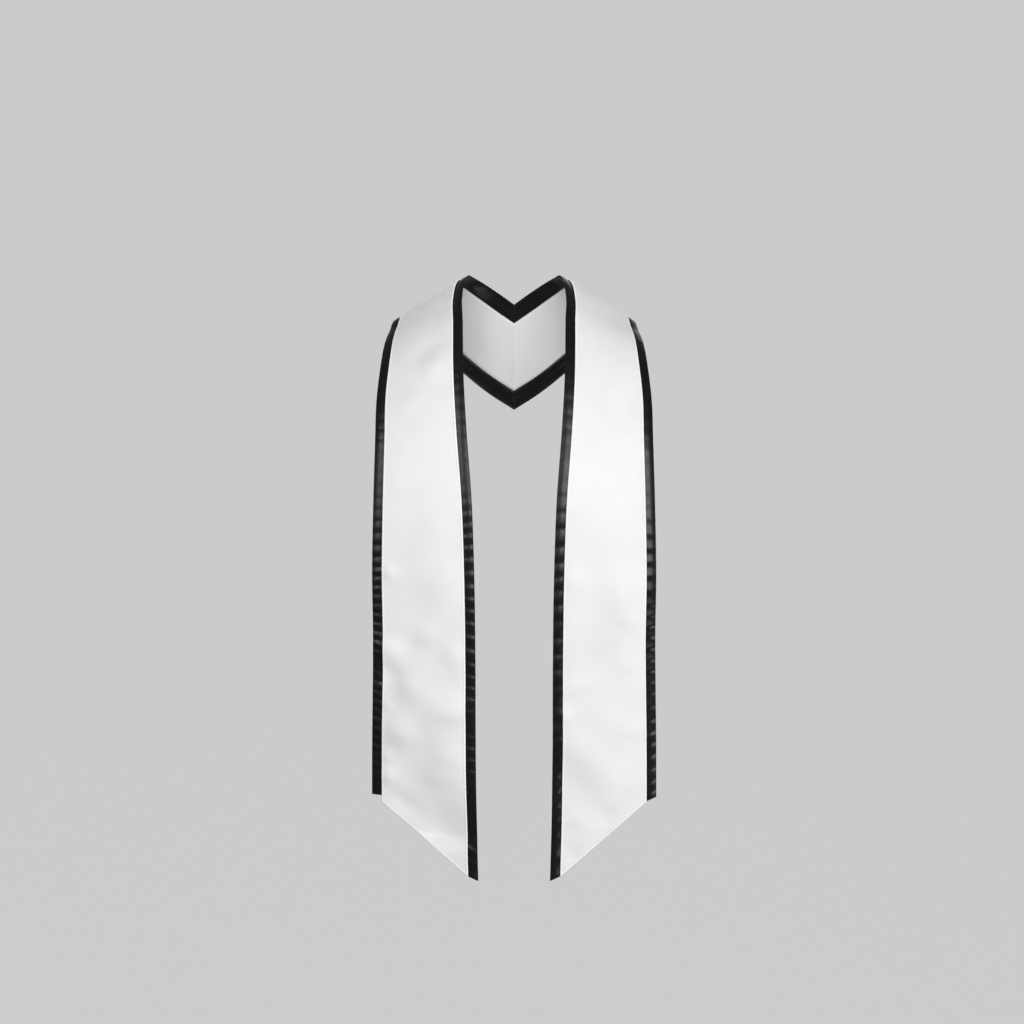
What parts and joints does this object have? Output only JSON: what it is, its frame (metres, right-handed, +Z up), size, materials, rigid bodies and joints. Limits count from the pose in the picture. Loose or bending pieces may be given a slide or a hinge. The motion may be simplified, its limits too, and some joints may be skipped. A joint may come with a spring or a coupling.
{
  "type": "graduation stole",
  "caption": "Satin stole in its worn shape, edged with ribbon along both long sides, with a V seam at the back and long fronts cut to slanted tips.",
  "frame": {"origin": "the neck edge at the middle of the back seam, where the stole sits on the nape", "axes": "+Z up, so the fronts hang toward -Z; -Y is the way the wearer faces; +X is the wearer's left"},
  "size_m": [0.3428, 0.2204, 0.7368],
  "materials": {
    "satin_white": "satin",
    "ribbon_black": "satin"
  },
  "bodies": {
    "root": {"satin_left": "satin_white", "satin_right": "satin_white", "neck_ribbon_left": "ribbon_black", "neck_ribbon_right": "ribbon_black", "outer_ribbon_left": "ribbon_black", "outer_ribbon_right": "ribbon_black"}
  },
  "joints": []
}
